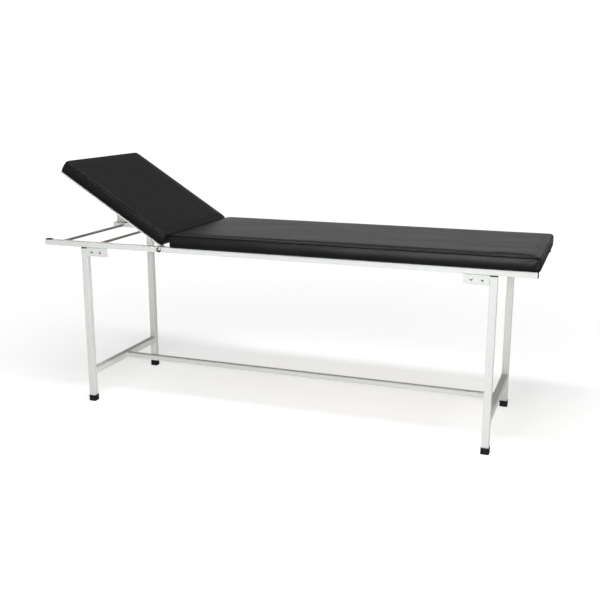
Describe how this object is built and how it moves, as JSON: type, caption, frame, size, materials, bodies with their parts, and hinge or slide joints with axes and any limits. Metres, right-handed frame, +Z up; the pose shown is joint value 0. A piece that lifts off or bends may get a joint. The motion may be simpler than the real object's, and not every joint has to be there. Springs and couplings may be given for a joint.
{
  "type": "examination couch",
  "caption": "Two-section examination couch: bolted square-tube frame, fixed padded seat, hinged backrest held by a slotted clamp plate, and a corner pole socket.",
  "frame": {"origin": "on the floor, under the centre of the whole couch's box at rest, backrest raised", "axes": "+X from the head end (backrest) to the foot end, +Y from the near side to the side with the clamp knob and pole socket, +Z up"},
  "size_m": [1.836, 0.545, 0.9325],
  "materials": {
    "frame_paint": "satin powder coat, off-white",
    "zinc_steel": "zinc-plated, dull",
    "black_plastic": "moulded, matte",
    "black_rubber": "matte",
    "plywood": "raw",
    "black_vinyl": "satin leather-grain vinyl over foam"
  },
  "bodies": {
    "frame": {"side_rail_near": "frame_paint", "side_rail_far": "frame_paint", "rail_end_plugs": "black_plastic", "leg_head_near": "frame_paint", "leg_head_far": "frame_paint", "leg_foot_near": "frame_paint", "leg_foot_far": "frame_paint", "leg_top_caps": "black_plastic", "ferrule_head_near": "black_rubber", "ferrule_head_far": "black_rubber", "ferrule_foot_near": "black_rubber", "ferrule_foot_far": "black_rubber", "crossbar_head": "frame_paint", "crossbar_foot": "frame_paint", "stretcher": "frame_paint", "leg_tabs": "frame_paint", "rail_tabs": "frame_paint", "tab_bolts_m5": "zinc_steel", "tab_nuts_m5": "zinc_steel", "head_rod": "zinc_steel", "inner_rod": "zinc_steel", "seat_bearer_head": "frame_paint", "seat_bearer_middle": "frame_paint", "seat_bearer_foot": "frame_paint", "seat_board": "plywood", "seat_cushion": "black_vinyl", "seat_bolts_m6": "zinc_steel", "pivot_bolt_near": "zinc_steel", "pivot_bolt_far": "zinc_steel", "pivot_washers": "zinc_steel", "pivot_nuts_m10": "zinc_steel", "clamp_bolt": "zinc_steel", "clamp_washers": "zinc_steel", "pole_post": "frame_paint", "pole_post_spacer": "frame_paint", "pole_bush": "black_plastic", "pole_post_plug": "black_plastic", "buffer_near": "black_rubber", "buffer_far": "black_rubber"},
    "backrest": {"hinge_bracket_near": "frame_paint", "hinge_bracket_far": "frame_paint", "back_side_bar_near": "frame_paint", "back_side_bar_far": "frame_paint", "back_head_bar": "frame_paint", "back_hinge_bar": "frame_paint", "back_board": "plywood", "back_cushion": "black_vinyl", "back_screws": "zinc_steel", "clamp_quadrant": "frame_paint"},
    "clamp_knob_body": {"clamp_knob": "black_plastic", "clamp_knob_insert": "zinc_steel"},
    "pole_screw_body": {"pole_screw": "black_plastic"}
  },
  "joints": [
    {"name": "backrest_tilt", "type": "hinge", "parent": "frame", "child": "backrest", "pos_m": [-0.427, -0.0125, 0.62], "axis": [0, 1, 0], "range_deg": [-32, 0]},
    {"name": "clamp_knob_turn", "type": "hinge", "parent": "frame", "child": "clamp_knob_body", "pos_m": [-0.577, 0.25, 0.62], "axis": [0, 1, 0], "range_deg": [0, 360]},
    {"name": "pole_screw_turn", "type": "hinge", "parent": "frame", "child": "pole_screw_body", "pos_m": [-0.893, 0.26, 0.689], "axis": [1, 0, 0], "range_deg": [-180, 180]}
  ]
}
